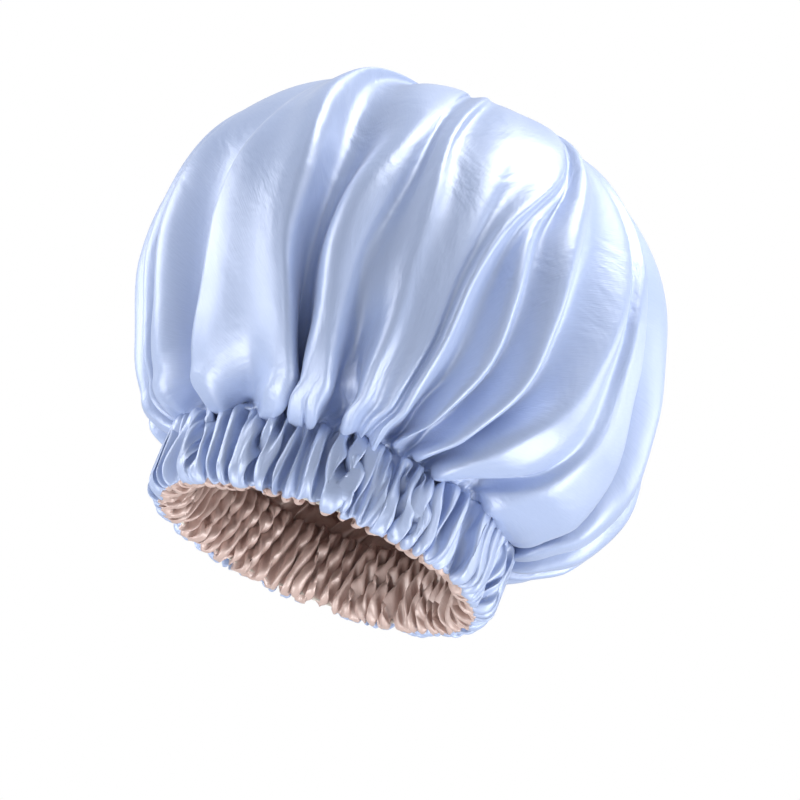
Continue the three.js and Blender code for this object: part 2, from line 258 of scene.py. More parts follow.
@dataclass(frozen=True)
class Envelope:
    """The crown's smooth shape, which its folds stand in and out of. Metres."""

    widest_radius: float = 0.118
    widest_height: float = 0.113
    top_height: float = 0.221
    seam_radius: float = 0.076
    seam_height: float = 0.036
    curl_radius: float = 0.003
    widest_share: float = 0.65
    curl_share: float = 0.93
    upper_squareness: float = 2.2
    lower_squareness: float = 2.0
    lean: float = 0.007
    sway: float = 0.004
    sway_rise: Span = (0.036, 0.046)
    sway_fall: Span = (0.065, 0.105)
    lean_rise: Span = (0.060, 0.170)

    def at(self, share: np.ndarray) -> tuple[np.ndarray, np.ndarray, np.ndarray]:
        """The profile: down to the widest place and in from there to the curl it is a quarter of a curve
        x to the power n plus y to the power n = 1, which is squarer than an ellipse, and the curl is round.

        Args:
            share: Shares of the way from the top to the channel seam.

        Returns:
            Radii, heights and the outward direction's angles above level.
        """
        upper = QUARTER * np.clip(share / self.widest_share, 0, 1)
        lower = QUARTER * np.clip((share - self.widest_share) / (self.curl_share - self.widest_share), 0, 1)
        curl = QUARTER * np.clip((share - self.curl_share) / (1 - self.curl_share), 0, 1)
        above, below = 2 / self.upper_squareness, 2 / self.lower_squareness
        reach = self.widest_radius - self.seam_radius - self.curl_radius
        drop = self.widest_height - self.seam_height - self.curl_radius
        rise = self.top_height - self.widest_height
        radius = self.widest_radius * np.sin(upper) ** above - reach * (1 - np.abs(np.cos(lower)) ** below)
        radius = radius - self.curl_radius * np.sin(curl)
        height = self.widest_height + rise * np.abs(np.cos(upper)) ** above
        height = height - drop * np.sin(lower) ** below - self.curl_radius * (1 - np.cos(curl))
        return radius, height, QUARTER - upper - lower + curl

    def depth_of(self, points: np.ndarray, beyond: float) -> tuple[np.ndarray, np.ndarray]:
        """How deep points lie in the envelope when it is made larger all round.

        Args:
            points: Points.
            beyond: By how much it is larger, in metres.

        Returns:
            The value of the profile's formula, to the power 1 / n: 1 on it and less within, and the radius
            of the middle that a point is measured from, at the height of the widest place.
        """
        radius = np.hypot(points[..., 0], points[..., 1])
        height = points[..., 2] - self.widest_height
        upper = height > 0
        base = np.where(upper, 0, self.seam_radius + self.curl_radius)
        drop = self.widest_height - self.seam_height - self.curl_radius
        rise = np.where(upper, self.top_height - self.widest_height, drop) + beyond
        across = np.maximum(radius - base, 0) / (self.widest_radius - base + beyond)
        power = np.where(upper, self.upper_squareness, self.lower_squareness)
        inside = (across**power + np.abs(height / rise) ** power) ** (1 / power)
        return inside, base

    def scaled(self, points: np.ndarray, base: np.ndarray, scale: np.ndarray) -> np.ndarray:
        """Moves points along the lines from their middles, by a scale.

        Args:
            points: Points.
            base: The radii of their middles, from depth_of.
            scale: What their distances from the middles are multiplied by.

        Returns:
            The moved points.
        """
        radius = np.maximum(np.hypot(points[..., 0], points[..., 1]), EPSILON)
        wider = np.where(radius > base, (base + (radius - base) * scale) / radius, 1)
        moved = points * wider[..., None]
        moved[..., 2] = self.widest_height + (points[..., 2] - self.widest_height) * scale
        return moved

    def leaning(self, points: np.ndarray) -> np.ndarray:
        """The filled crown hangs to the right just above the casing, and leans to the left at its shoulder.

        Args:
            points: Points of the upright crown.

        Returns:
            The same points, shifted level by the sway and the lean at their heights.
        """
        moved = points.copy()
        height = points[..., 2]
        low = smoothstep(height, *self.sway_rise) * (1 - smoothstep(height, *self.sway_fall))
        moved[..., 0] += self.sway * low - self.lean * smoothstep(height, *self.lean_rise)
        return moved


# Each crest and hollow of the crown's folds, round from the left: its bearings in degrees at the seven
# stations of STATION_SHARES, then how far it stands out there in millimetres at the first six.
STATION_SHARES = (0.25, 0.45, 0.58, 0.70, 0.80, 0.90, 1.0)
FOLDS = (
    ((-88, -90, -92, -93, -92, -91, -90), (0, 1, 3, 5, 5, 4)),
    ((-80, -84, -85, -86, -86, -86, -86), (0, -1, -2, -4, -5, -5)),
    ((-72, -77, -79, -80, -81, -82, -82), (1, 3, 4, 5, 5, 4)),
    ((-66, -70, -73, -75, -76, -78, -79), (1, 1, 0, -2, -3, -3)),
    ((-60, -63, -66, -68, -69, -73, -76), (1, 3, 6, 7, 7, 6)),
    ((-54, -57, -58, -60, -60, -63, -67), (2, 3, 1, -7, -9, -8)),
    ((-47, -48, -50, -52, -53, -56, -60), (2, 3, 0, -9, -11, -10)),
    ((-44, -45, -46, -48, -48, -50, -54), (3, 4, 6, 7, 8, 6)),
    ((-42, -40, -38, -38, -37, -39, -46), (3, 4, 5, 5, 4, 4)),
    ((-40, -34, -30, -30, -28, -27, -37), (5, 7, 8, 9, 9, 8)),
    ((-38, -29, -27, -28, -28, -26, -30), (0, -4, -7, -9, -10, -10)),
    ((-31, -22, -22, -25, -24, -23, -27), (-1, -5, -7, -7, -8, -9)),
    ((-22, -15, -19, -21.5, -20, -19, -23), (1, 3, 4, 3, 5, 6)),
    ((-9, -10, -12.5, -16, -16.5, -16, -18), (2, 3, 3.5, 4, 6, 6)),
    ((-6, -7.5, -9, -13.5, -13.5, -13, -13.5), (0, -1, -2, 2, -6, -8)),
    ((-3, -5.5, -6.5, -9, -10, -9.5, -11), (0.5, 0, -1, 3, -5, -7)),
    ((1, -3.5, -3, -4, -7, -5, -8), (2.5, 3, 3, 3.5, 4, 4)),
    ((4, -1, 1, 0, -3, -2, -4.5), (1.5, 0.5, 0.5, 3, 5, 4.5)),
    ((10, 8, 7, 5, 0.5, 0.5, -1.5), (2, 3, 3.5, 4, 5, 4.5)),
    ((17, 15, 10, 7, 2.5, 2.5, 1.5), (2, 2, 2, 4, 5, 5)),
    ((27, 23, 13, 9, 4.5, 4, 4), (3, 4, 5.5, 6, 5.5, 5)),
    ((29, 25, 15, 14, 8, 6.5, 6.5), (2.5, 2.5, -1, -5, -6, -6)),
    ((31, 27, 18.5, 20, 12.5, 9, 10), (2.5, 2.5, 2, 4.5, 5.5, 5)),
    ((32, 28, 22, 24, 16.5, 13, 14), (2.5, 2, -1, -4, -6, -6)),
    ((33.5, 31, 29, 30, 20.5, 16.5, 17), (3, 4.5, 5, 4, 3.5, 3.5)),
    ((36, 37, 34.5, 34.5, 26, 21.5, 21.5), (2, 1, -2, -5, -7.5, -7)),
    ((39, 45, 45, 41, 31.5, 26, 26.5), (3, 5, 6, 6.5, 6, 5)),
    ((43, 48, 48.5, 47, 43, 36, 35), (3, 4.5, 5, 4, 2, -2)),
    ((47, 50, 50.5, 51, 49, 47, 46), (3, 5, 6, 7, 6, 4)),
    ((51, 52.5, 54, 56, 60, 66, 70), (3, 5.5, 7.5, 9, 9, 7)),
    ((54, 54, 54.5, 56, 60, 66, 72), (1, -3, -9, -13, -15, -13)),
    ((58, 61, 62, 62, 66, 72, 79), (1, -2, -7, -13, -15, -12)),
    ((63, 71, 73, 72, 73, 79, 84), (2, 4, 5, 6, 6, 5)),
    ((72, 80, 80, 80, 82, 87, 90), (0, -2, -3, -4, -4, -4)),
    ((82, 88, 89, 89, 91, 94, 96), (1, 3, 4, 5, 5, 4)),
    ((92, 97, 98, 98, 99, 100, 101), (0, -1, -3, -4, -4, -4)),
    ((103, 105, 104, 103, 104, 106, 107), (1, 3, 5, 7, 7, 5)),
    ((110, 111, 110, 109, 110, 112, 114), (0, 0, -2, -6, -8, -6)),
    ((117, 119, 120, 122, 121, 120, 120), (1, 2, 2, 3, 5, 4)),
    ((125, 126, 128, 130, 129, 127, 126), (1, 1, -1, -2, -3, -4)),
    ((133, 134, 138, 141, 140, 136, 133), (1, 3, 5, 8, 8, 6)),
    ((139, 140, 142, 143.5, 143, 140, 140), (0, 0, -2, -7, -10, -8)),
    ((147, 147, 149, 151, 150, 148, 148), (0, 1, 2, 2, 3, 4)),
    ((154, 153, 154, 156, 157, 156, 155), (0, -1, -1, -1, -3, -4)),
    ((163, 161, 160, 161, 163, 163, 162), (1, 2, 4, 5, 6, 5)),
    ((170, 168, 166, 165, 168, 169, 169), (0, -2, -5, -8, -8, -7)),
    ((177, 178, 176, 173, 174, 175, 176), (1, 3, 5, 7, 6, 4)),
    ((184, 186, 186, 184, 182, 182, 183), (1, 1, 1, 0, -2, -4)),
    ((191, 194, 195, 194, 191, 190, 190), (1, 2, 2, 3, 4, 5)),
    ((199, 202, 204, 203, 199, 197, 197), (-1, -2, -4, -6, -6, -5)),
    ((207, 208, 209, 210, 208, 205, 204), (1, 3, 6, 8, 8, 5)),
    ((214, 213, 213, 214, 214, 213, 212), (0, -1, -3, -7, -9, -7)),
    ((222, 221, 220, 221, 222, 220, 219), (1, 2, 2, 3, 4, 5)),
    ((229, 229, 228, 229, 230, 228, 226), (0, 0, -1, -1, -3, -5)),
    ((236, 237, 237, 239, 240, 236, 234), (0, 2, 4, 6, 7, 5)),
    ((242, 243, 244, 245, 245, 242, 241), (0, -2, -4, -6, -7, -5)),
    ((248, 250, 251, 251, 250, 249, 248), (0, 1, 2, 4, 6, 6)),
    ((256, 257, 257, 256, 256, 255, 255), (0, 0, -1, -2, -4, -3)),
    ((264, 264, 264, 263, 262, 262, 262), (0, 1, 2, 4, 5, 4)),
)


@dataclass(frozen=True)
class Pleats:
    """The places of the gathers round the cloth: a wave of uneven pitch, with another count of crests at the
    rim than at the channel seam, so that some of them join or part on the way down. Angles in radians."""

    seam_count: int
    rim_count: int
    lean: float
    wander: float
    sharpness: float
    turn: float = 0.0
    unevenness: float = 1.0
    wander_ripples: tuple[Ripple, ...] = (Ripple(6, phase=0.4), Ripple(14, 0.7, 2.6))
    pitch_ripples: tuple[Ripple, ...] = (Ripple(5, 1.3, 1), Ripple(11, 1.1, 2.2), Ripple(19, 0.9, 0.3))
    sway_ripples: tuple[Ripple, ...] = (Ripple(9, 0.9, 0.7), Ripple(17, 0.8, 1.9), Ripple(29, 0.6))
    size_ripples: tuple[Ripple, ...] = (Ripple(13, 0.3, 1, 2), Ripple(31, 0.2, 0, 1))
    change_ripples: tuple[Ripple, ...] = (Ripple(7, 0.3, 2), Ripple(23, 0.15))
    change_share: float = 0.5
    change_reach_share: float = 0.3

    def wave(self, cloth: np.ndarray, down: np.ndarray) -> np.ndarray:
        """The wave: two cosines of the bearing with ripples added to their phases. The one for the seam gives
        way to the one for the rim, at a height that ripples too.

        Args:
            cloth: The columns' places round the cloth, in radians.
            down: The rows' places on the way down, 0 at the channel seam and 1 at the rim.

        Returns:
            Values about -1 to 1, shape (rows, columns).
        """
        a = cloth + self.turn
        v = down[:, None]
        at = cloth[None, :] - (self.lean + self.wander * ripples(self.wander_ripples, a)) * v
        pitch = self.unevenness * ripples(self.pitch_ripples, a)
        sway = self.unevenness * ripples(self.sway_ripples, a)
        upper = np.cos(self.seam_count * at + pitch + v * sway)
        lower = np.cos(self.rim_count * at + pitch - (1 - v) * sway)
        height = ripples(self.change_ripples, a, self.change_share)
        share = smoothstep(v - height, -self.change_reach_share, self.change_reach_share)
        size = 1 + self.unevenness * ripples(self.size_ripples, a, down=v)
        wave = upper * (1 - share) + lower * share
        return size * (wave - self.sharpness * (1 - wave**2))


OUTER_PLEATS = Pleats(56, 48, math.radians(4), math.radians(4), -0.35)
LINING_PLEATS = Pleats(66, 66, math.radians(11), math.radians(1), 0.3, turn=1.7, unevenness=0.45)

GATHER_POWER = 1.3


def gathered_shares(rows: int) -> np.ndarray:
    """The crown's rows as shares of the way down, closer towards the seam: 1 less (1 - t) to a power."""
    return 1 - (1 - np.linspace(0, 1, rows)) ** GATHER_POWER


@dataclass
class Crown:
    """The gathered crown of one satin disc, before it settles. Metres and radians, with counts for its grid.
    Blurs are in samples, and where there are two, over columns and then over rows."""

    envelope: Envelope
    rows: int = 40
    samples: int = 4
    seed: int = 12
    unevenness: float = 0.0007
    dents: float = 0.0014
    seam_swing: float = 0.0012
    seam_ripples: tuple[Ripple, ...] = (Ripple(23, swing=1.5, swing_count=7),)
    bag_droop: float = 0.006
    bag_bearing: float = math.radians(110)
    smooth_top_share: float = 0.08
    fold_end_shares: Span = (0.93, 1.0)
    uneven_shares: Span = (0.2, 0.6)
    dented_shares: Span = (0.1, 0.4)
    seam_shares: Span = (0.9, 1.0)
    bag_rise_shares: Span = (0.4, 0.8)
    bag_fall_shares: Span = (0.8, 1.0)
    bearing_blur: float = 1.2
    depth_blur: float = 1.0
    uneven_blurs: Span = (1.0, 1.5)
    dent_blurs: Span = (4.0, 4.0)

    def folds(self, share: np.ndarray) -> tuple[np.ndarray, np.ndarray]:
        """The folds as listed, taken at each row and smoothed down the crown.

        Args:
            share: The rows' shares.

        Returns:
            Bearings in radians and distances out of the envelope in metres, both of shape (rows, folds).
        """
        stops = (self.smooth_top_share, *STATION_SHARES)
        turns = np.array([np.interp(share, STATION_SHARES, np.radians(line)) for line, _ in FOLDS]).T
        outs = np.array([np.interp(share, stops, (0, *np.array(line) * MM, 0)) for _, line in FOLDS]).T
        kept = 1 - smoothstep(share, *self.fold_end_shares)[:, None]
        return blurred(turns, self.bearing_blur, 0, False), blurred(outs, self.depth_blur, 0, False) * kept

    def noise(self, rng: np.random.Generator, shape: tuple[int, ...], blurs: Span) -> np.ndarray:
        """Random values averaged with their neighbours, and divided by their spread.

        Args:
            rng: Where the values are drawn.
            shape: The grid's shape.
            blurs: Over how many columns and rows they are averaged.

        Returns:
            Values with a spread of 1.
        """
        values = blurred(blurred(rng.normal(0, 1, shape), blurs[0], 1, True), blurs[1], 0, False)
        return values / values.std()

    def grid(self) -> np.ndarray:
        """The cloth as it is laid out: each row is a closed curve through that row's crests and hollows, with
        a little unevenness standing on it.

        Returns:
            Points, shape (rows, columns, 3).
        """
        share = gathered_shares(self.rows)
        turns, outs = self.folds(share)
        bearing = catmull_rom(turns, self.samples, TURN)
        out = catmull_rom(outs, self.samples, 0)
        rng = np.random.default_rng(self.seed)
        down = share[:, None]
        rough = self.noise(rng, out.shape, self.uneven_blurs) * smoothstep(down, *self.uneven_shares)
        soft = self.noise(rng, out.shape, self.dent_blurs) * smoothstep(down, *self.dented_shares)
        at_seam = smoothstep(down, *self.seam_shares)
        out = out + (1 - at_seam) * (self.unevenness * rough + self.dents * soft)
        radius, height, tilt = (v[:, None] for v in self.envelope.at(share))
        turned = np.clip(np.cos(bearing - self.bag_bearing), 0, 1)
        hanging = smoothstep(down, *self.bag_rise_shares) * (1 - smoothstep(down, *self.bag_fall_shares))
        swing = ripples(self.seam_ripples, bearings(bearing.shape[1])) * at_seam
        height = height + out * np.sin(tilt) - self.bag_droop * turned * hanging + self.seam_swing * swing
        return around(bearing, radius + out * np.cos(tilt), height)


# How the cloth settles


def project(
    a: np.ndarray, b: np.ndarray, free_a: np.ndarray, free_b: np.ndarray, rest: np.ndarray, give: float
) -> None:
    """Moves pairs of points to their rest distance, shared out by how free each is, in place.

    Args:
        a: The first points.
        b: The second points.
        free_a: How free the first points are, 0 when held.
        free_b: How free the second points are.
        rest: Their rest distances.
        give: The share of the way that they are moved.
    """
    apart = b - a
    length = np.sqrt((apart**2).sum(axis=-1)) + EPSILON
    change = give * (length - rest) / length / np.maximum(free_a + free_b, EPSILON)
    step = change[..., None] * apart
    a += free_a[..., None] * step
    b -= free_b[..., None] * step


@dataclass
class Relaxation:
    """Settles a grid of cloth: by turns it is smoothed, which is its stiffness against bending, brought back
    to its true lengths round, down and across, and pushed clear of what it lies on."""

    around_rest: np.ndarray
    down_rest: np.ndarray
    free: np.ndarray
    stiffness: Span
    lies_on: Callable[[np.ndarray], np.ndarray]
    give: float = 0.6
    shear: float = 0.05

    def settle(self, points: np.ndarray, steps: int) -> np.ndarray:
        """Runs the turns.

        Args:
            points: The grid, shape (rows, columns, 3), with an even number of columns.
            steps: How many turns.

        Returns:
            The settled grid.
        """
        across = (self.around_rest[1:] + self.around_rest[:-1]) / 2
        across = np.sqrt(self.down_rest**2 + across**2)
        for _ in range(steps):
            points = self.bend(points)
            for shift in (0, 1):
                points = self.pull_round(points, shift)
            for parity in (0, 1):
                self.pull_down(points, parity, 0, self.down_rest, self.give)
            for parity in (0, 1):
                for turn in (1, -1):
                    self.pull_down(points, parity, turn, across, self.shear)
            points = self.lies_on(points)
        return points

    def bend(self, points: np.ndarray) -> np.ndarray:
        """Smooths rows and columns by the change in their curvature, which leaves broad curves alone.

        Args:
            points: The grid.

        Returns:
            The grid less stiffness times the change, where it is free.
        """
        curve = (np.roll(points, 1, 1) + np.roll(points, -1, 1)) / 2 - points
        change = (np.roll(curve, 1, 1) + np.roll(curve, -1, 1)) / 2 - curve
        down = np.zeros_like(points)
        down[1:-1] = (points[:-2] + points[2:]) / 2 - points[1:-1]
        down_change = np.zeros_like(points)
        down_change[1:-1] = (down[:-2] + down[2:]) / 2 - down[1:-1]
        moves = self.stiffness[0] * change + self.stiffness[1] * down_change
        return points - self.free[..., None] * moves

    def pull_round(self, points: np.ndarray, shift: int) -> np.ndarray:
        """Brings every second pair of neighbours in each row to its rest distance.

        Args:
            points: The grid.
            shift: 0 for the pairs that start at even columns, and 1 for the others.

        Returns:
            The grid.
        """
        rows, columns, _ = points.shape
        pairs = np.roll(points, -shift, 1).reshape(rows, columns // 2, 2, 3).copy()
        free = np.roll(self.free, -shift, 1).reshape(rows, columns // 2, 2)
        rest = np.roll(self.around_rest, -shift, 1)[:, ::2]
        project(pairs[:, :, 0], pairs[:, :, 1], free[:, :, 0], free[:, :, 1], rest, self.give)
        return np.roll(pairs.reshape(rows, columns, 3), shift, 1)

    def pull_down(self, points: np.ndarray, parity: int, turn: int, rest: np.ndarray, give: float) -> None:
        """Brings every second pair of rows to its rest distance, in place.

        Args:
            points: The grid.
            parity: 0 for the pairs that start at even rows, and 1 for the others.
            turn: 0 for pairs straight down, and 1 or -1 for pairs one column across.
            rest: The rest distances.
            give: The share of the way that the points are moved.
        """
        count = (len(points) - parity) // 2
        upper = slice(parity, parity + 2 * count, 2)
        lower = slice(parity + 1, parity + 2 * count, 2)
        below = np.roll(points[lower], -turn, axis=1)
        free = np.roll(self.free[lower], -turn, axis=1)
        project(points[upper], below, self.free[upper], free, rest[parity::2][:count], give)
        points[lower] = np.roll(below, turn, axis=1)


def lengths(points: np.ndarray) -> tuple[np.ndarray, np.ndarray]:
    """The distances between neighbours round each row and down each column of a grid."""
    round_it = np.linalg.norm(np.roll(points, -1, axis=1) - points, axis=-1)
    return round_it, np.linalg.norm(np.diff(points, axis=0), axis=-1)


def settled(
    start: np.ndarray,
    growth: np.ndarray,
    freedom: np.ndarray | float,
    stiffness: Span,
    lies_on: Callable[[np.ndarray], np.ndarray],
    steps: int,
) -> np.ndarray:
    """Settles a grid whose cloth is longer round than it is laid out, with its first and last rows held.

    Args:
        start: The grid as it is laid out.
        growth: By what share the cloth is longer, for each row or each point.
        freedom: How free its rows are to move, 1 when wholly.
        stiffness: The cloth's stiffness round the bonnet and down it.
        lies_on: Moves points clear of what the cloth lies on.
        steps: How many turns.

    Returns:
        The settled grid.
    """
    round_it, down = lengths(start)
    free = np.ones(start.shape[:2]) * freedom
    free[[0, -1]] = 0
    return Relaxation(round_it * (1 + growth), down, free, stiffness, lies_on).settle(start, steps)


TOP_FREEDOM_SHARE = 0.1
TOP_SHARES = (0.15, 0.45)


def row_freedom(share: np.ndarray) -> np.ndarray:
    """How free a crown's rows are: a little at the top, where all its folds meet, and wholly further down."""
    return (TOP_FREEDOM_SHARE + (1 - TOP_FREEDOM_SHARE) * smoothstep(share, *TOP_SHARES))[:, None]


def finer_rows(points: np.ndarray, places: np.ndarray) -> np.ndarray:
    """Resamples a grid's columns with the same cubic as catmull_rom.

    Args:
        points: The grid.
        places: Where the new rows lie, counted in old rows.

    Returns:
        The new grid.
    """
    last = len(points) - 1
    row = np.clip(np.floor(places).astype(int), 0, last - 1)
    p1, p2 = points[row], points[row + 1]
    p0 = np.where((row > 0)[:, None, None], points[np.maximum(row - 1, 0)], 2 * p1 - p2)
    p3 = np.where((row < last - 1)[:, None, None], points[np.minimum(row + 2, last)], 2 * p2 - p1)
    return cubic(p0, p1, p2, p3, (places - row)[:, None, None])


def finer_columns(points: np.ndarray, samples: int) -> np.ndarray:
    """Resamples a grid's rows, which run round and meet themselves."""
    return np.stack([catmull_rom(points[..., axis], samples, 0) for axis in range(3)], axis=-1)


# The outer crown, the lining's crown and the ruffled casing


@dataclass
class OuterCloth:
    """The outer satin's crown, settled over the stuffing. Metres, with counts for its grid."""

    envelope: Envelope
    pleats: Pleats
    coarse_steps: int = 150
    fine_steps: int = 30
    finer: int = 3
    stiffness: Span = (0.055, 0.055)
    fine_stiffness: Span = (0.03, 0.03)
    gather_rise: float = 0.0017
    stuffing_depth: float = 0.0105
    fold_reach: float = 0.008
    middle_growth_share: float = 0.05
    seam_growth_share: float = 0.4
    fine_growth_share: float = 0.03
    middle_shares: Span = (0.3, 0.6)
    low_shares: Span = (0.7, 0.92)
    end_shares: Span = (0.93, 1.0)
    fine_shares: Span = (0.4, 0.9)
    gather_shares: Span = (0.82, 0.97)
    core_share: float = 0.3
    out_share: float = 0.3
    back_share: float = 0.5

    def crown(self) -> np.ndarray:
        """Settles the crown on a coarse grid, whose folds are broad, and then on one with twice the rows and
        three times the columns.

        Returns:
            The fine grid.
        """
        crown = Crown(self.envelope)
        share = gathered_shares(crown.rows)
        low_growth = self.seam_growth_share - self.middle_growth_share
        growth = self.middle_growth_share * smoothstep(share, *self.middle_shares)
        growth = growth + low_growth * smoothstep(share, *self.low_shares)
        growth = growth * (1 - smoothstep(share, *self.end_shares))
        coarse = self.settle(crown.grid(), share, growth, self.stiffness, self.coarse_steps)
        places = np.linspace(0, crown.rows - 1, 2 * crown.rows - 1)
        share = np.interp(places, np.arange(crown.rows), share)
        start = self.gathered(finer_columns(finer_rows(coarse, places), self.finer), share)
        growth = self.fine_growth_share * smoothstep(share, *self.fine_shares)
        return self.settle(start, share, growth, self.fine_stiffness, self.fine_steps)

    def settle(
        self, start: np.ndarray, share: np.ndarray, growth: np.ndarray, stiffness: Span, steps: int
    ) -> np.ndarray:
        """Settles a crown grid over the stuffing.

        Args:
            start: The grid as it is laid out.
            share: The rows' shares.
            growth: By what share each row's cloth is longer.
            stiffness: The cloth's stiffness round the bonnet and down it.
            steps: How many turns.

        Returns:
            The settled grid.
        """
        return settled(start, growth[:, None], row_freedom(share), stiffness, self.clear_of_stuffing, steps)

    def gathered(self, points: np.ndarray, share: np.ndarray) -> np.ndarray:
        """Adds the gathers that run up from the seam, the wave of the casing's pleats, which dies out above.

        Args:
            points: The crown's fine grid.
            share: The rows' shares.

        Returns:
            The gathered grid.
        """
        wave = self.pleats.wave(np.arctan2(points[-1, :, 0], -points[-1, :, 1]), np.zeros(1))
        out = self.gather_rise * smoothstep(share, *self.gather_shares)[:, None] * wave
        tilt = self.envelope.at(share)[2][:, None]
        moved = points + (out * np.cos(tilt))[..., None] * outward_of(points)
        moved[..., 2] += out * np.sin(tilt)
        return moved

    def clear_of_stuffing(self, points: np.ndarray) -> np.ndarray:
        """Moves points a part of the way out of the stuffing, which is the envelope sunk by a fold's depth,
        and a part of the way back from beyond the reach of the folds.

        Args:
            points: The grid.

        Returns:
            The moved grid, with its first and last rows as they were.
        """
        inside, base = self.envelope.depth_of(points, -self.stuffing_depth)
        out = 1 + self.out_share * (1 / np.clip(inside, self.core_share, 1) - 1)
        moved = self.envelope.scaled(points, base, out)
        inside, base = self.envelope.depth_of(moved, self.fold_reach)
        back = 1 + self.back_share * (1 / np.maximum(inside, 1) - 1)
        moved = self.envelope.scaled(moved, base, back)
        moved[[0, -1]] = points[[0, -1]]
        return moved


@dataclass
class LiningCloth:
    """The lining satin's crown, under the outer one. Metres, with counts for its grid. The blurs are in
    samples, over columns and then over rows."""

    envelope: Envelope
    pleats: Pleats
    steps: int = 100
    finer: int = 3
    rows: int = 60
    reach: int = 6
    stiffness: Span = (0.08, 0.08)
    depth: float = 0.0018
    room: float = 0.0026
    seam_gap: float = 0.0018
    blurs: Span = (1.2, 0.8)
    growth_share: float = 0.45
    tighter_share: float = 0.6
    tight_shares: Span = (0.95, 1.0)
    wave_shares: Span = (0.25, 0.6)
    end_shares: Span = (0.93, 1.0)
    growth_shares: Span = (0.2, 0.6)

    def deepest(self, outer: np.ndarray, share: np.ndarray, columns: int) -> np.ndarray:
        """How far in the outer crown's hollows reach, row by row and bearing by bearing.

        Args:
            outer: The outer crown's settled grid.
            share: Its rows' shares.
            columns: How many bearings.

        Returns:
            Distances outside the envelope, shape (rows, columns).
        """
        radius, height, tilt = (v[:, None] for v in self.envelope.at(share))
        far = np.hypot(outer[..., 0], outer[..., 1])
        out = (far - radius) * np.cos(tilt) + (outer[..., 2] - height) * np.sin(tilt)
        turned = np.arctan2(outer[..., 0], -outer[..., 1]) / TURN * columns
        places = np.round(turned).astype(int) % columns
        limit = np.full((len(outer), columns), np.inf)
        rows = np.broadcast_to(np.arange(len(outer))[:, None], places.shape)
        np.minimum.at(limit, (rows, places), out)
        beside = range(-self.reach, self.reach + 1)
        limit = np.minimum.reduce([np.roll(limit, shift, 1) for shift in beside])
        padded = np.pad(limit, ((1, 1), (0, 0)), mode="edge")
        limit = np.minimum.reduce([padded[:-2], limit, padded[2:]])
        return blurred(blurred(limit, self.blurs[0], 1, True), self.blurs[1], 0, False)

    def seam(self, outer_seam: np.ndarray, columns: int) -> np.ndarray:
        """The lining's edge at the channel seam: a smooth ring inside the gathers of the outer cloth's edge.

        Args:
            outer_seam: The outer cloth's points at the channel seam.
            columns: How many points the ring has.

        Returns:
            The ring's points.
        """
        ring = even_ring(outer_seam, columns * self.finer, self.seam_gap)
        radius = np.hypot(ring[:, 0], ring[:, 1])
        beside = range(-2 * self.finer, 2 * self.finer + 1)
        least = np.minimum.reduce([np.roll(radius, shift) for shift in beside])
        ring = ring * (least / radius)[:, None] ** (1, 1, 0)
        return blurred(ring, self.finer, 0, True)[:: self.finer]

    def crown(self, outer: np.ndarray) -> np.ndarray:
        """The lining starts under the outer crown's hollows, at each place under the deepest one near by, and
        settles into folds of its own towards the inside.

        Args:
            outer: The outer crown's settled grid.

        Returns:
            The lining's grid.
        """
        outer = outer[::2]
        share = gathered_shares(len(outer))
        columns = outer.shape[1] // self.finer
        shape = tuple(v[:, None] for v in self.envelope.at(share))
        room = self.room * (1 - self.tighter_share * smoothstep(share, *self.tight_shares))[:, None]
        limit = self.deepest(outer, share, columns) - room
        bearing = bearings(columns)
        wave = self.pleats.wave(bearing, share) * smoothstep(share, *self.wave_shares)[:, None]
        out = limit - self.depth * (1 + wave) * (1 - smoothstep(share, *self.end_shares))[:, None]
        radius, height, tilt = shape
        points = around(bearing, radius + out * np.cos(tilt), height + out * np.sin(tilt))
        points[0] = points[0].mean(axis=0)
        points[-1] = self.seam(outer[-1], columns)
        growth = (self.growth_share * smoothstep(share, *self.growth_shares))[:, None]
        hold = UnderOuter(limit, shape).hold
        points = settled(points, growth, row_freedom(share), self.stiffness, hold, self.steps)
        return finer_columns(finer_rows(points, np.linspace(0, len(outer) - 1, self.rows)), self.finer)


@dataclass
class UnderOuter:
    """Keeps the lining's points under the outer crown's hollows."""

    limit: np.ndarray
    shape: tuple[np.ndarray, np.ndarray, np.ndarray]

    def hold(self, grid: np.ndarray) -> np.ndarray:
        """Moves points that stand out past the limit straight back to it.

        Args:
            grid: The lining's grid.

        Returns:
            The grid, held.
        """
        radius, height, tilt = self.shape
        reach = np.maximum(np.hypot(grid[..., 0], grid[..., 1]), EPSILON)
        now = (reach - radius) * np.cos(tilt) + (grid[..., 2] - height) * np.sin(tilt)
        back = np.maximum(now - self.limit, 0)
        back[[0, -1]] = 0
        held = grid * (1 - back * np.cos(tilt) / reach)[..., None] ** (1, 1, 0)
        held[..., 2] -= back * np.sin(tilt)
        return held


